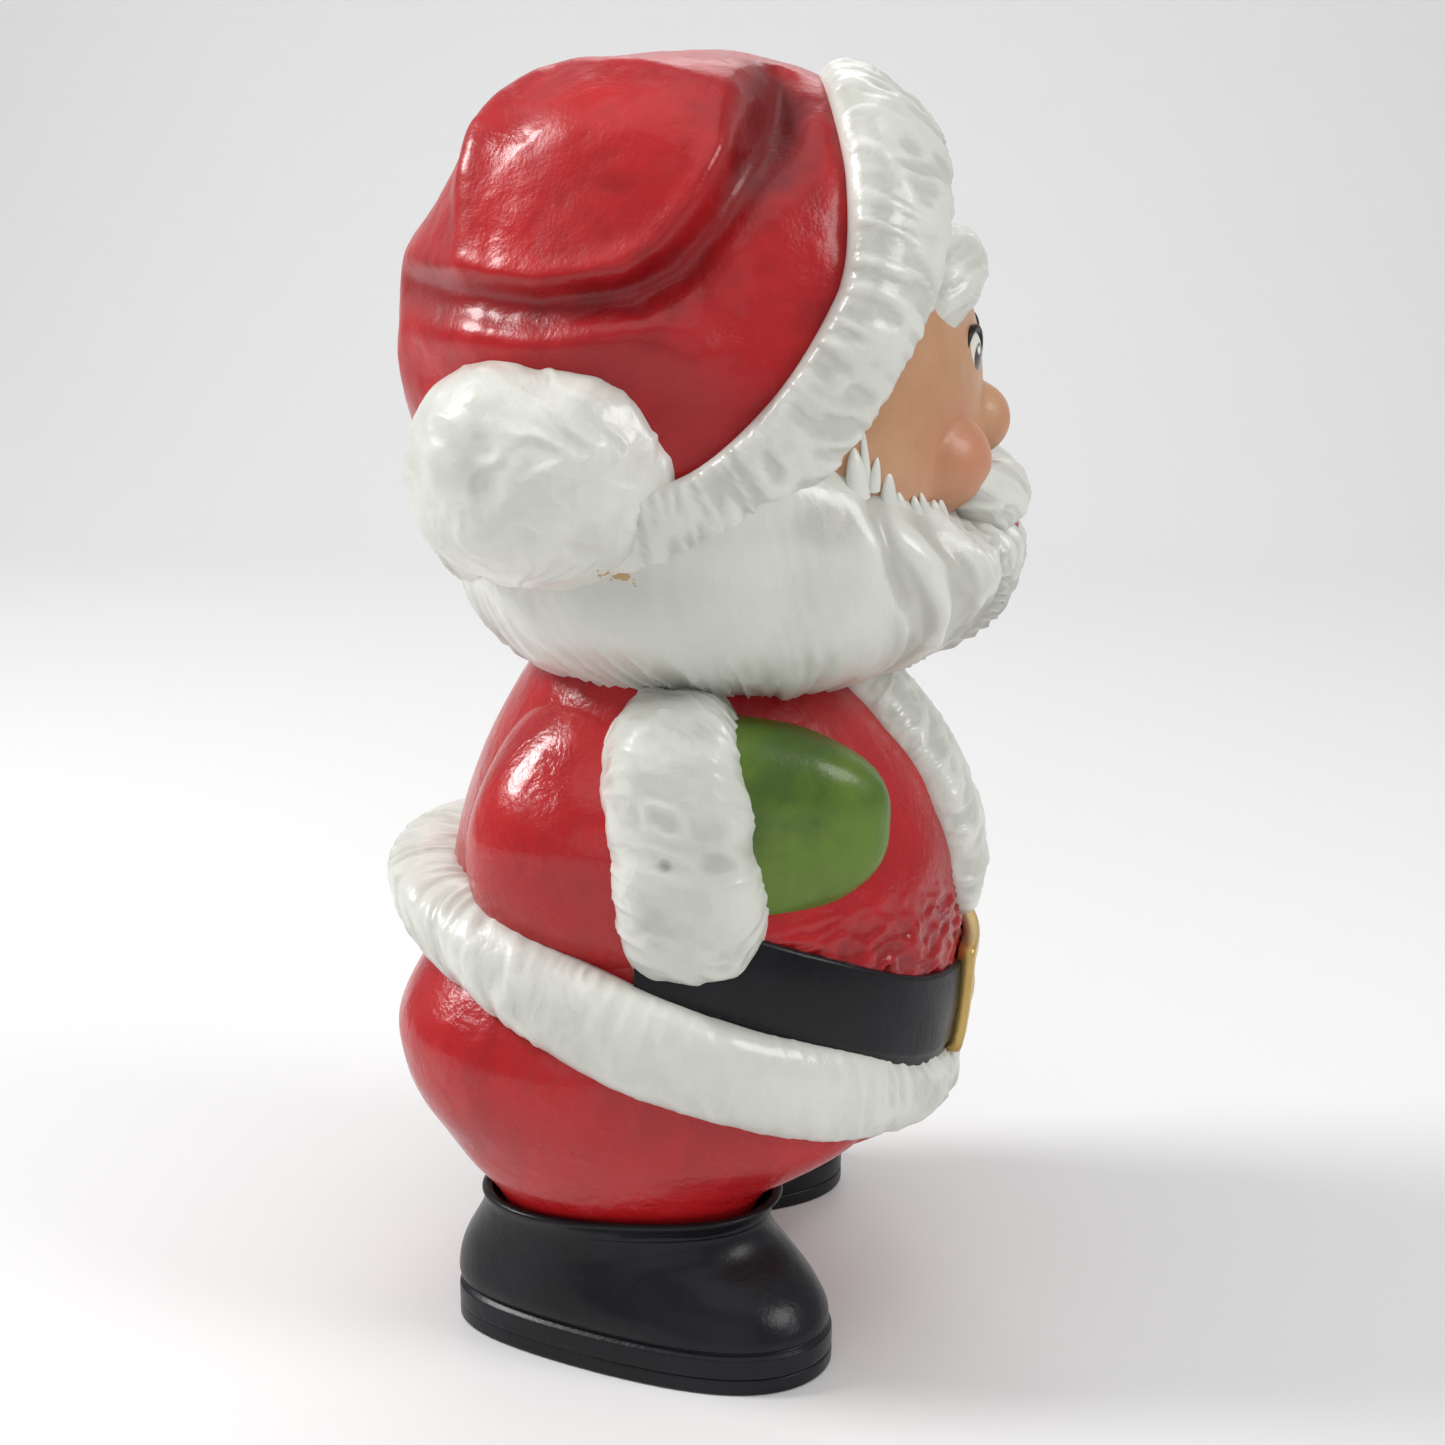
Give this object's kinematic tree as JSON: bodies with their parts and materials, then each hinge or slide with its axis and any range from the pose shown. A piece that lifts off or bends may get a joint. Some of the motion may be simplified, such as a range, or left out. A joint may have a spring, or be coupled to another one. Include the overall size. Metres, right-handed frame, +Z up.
{
  "type": "santa figurine",
  "caption": "Standing ceramic Santa figurine in a folded hat with a pompom, fur-trimmed coat, belt, mittens and boots, cast as one piece.",
  "frame": {"origin": "on the surface it stands on, under the middle of its bounding box", "axes": "+Z up, the figure faces -Y, its left side is +X"},
  "size_m": [0.1748, 0.188, 0.3657],
  "materials": {
    "red_glaze": "gloss glaze over red paint, on earthenware",
    "white_glaze": "gloss glaze over white paint",
    "black_glaze": "satin black glaze",
    "green_glaze": "gloss glaze over green paint",
    "skin_paint": "satin skin-coloured paint",
    "gold_paint": "satin gold paint"
  },
  "bodies": {
    "root": {"figurine": "red_glaze"}
  },
  "joints": []
}
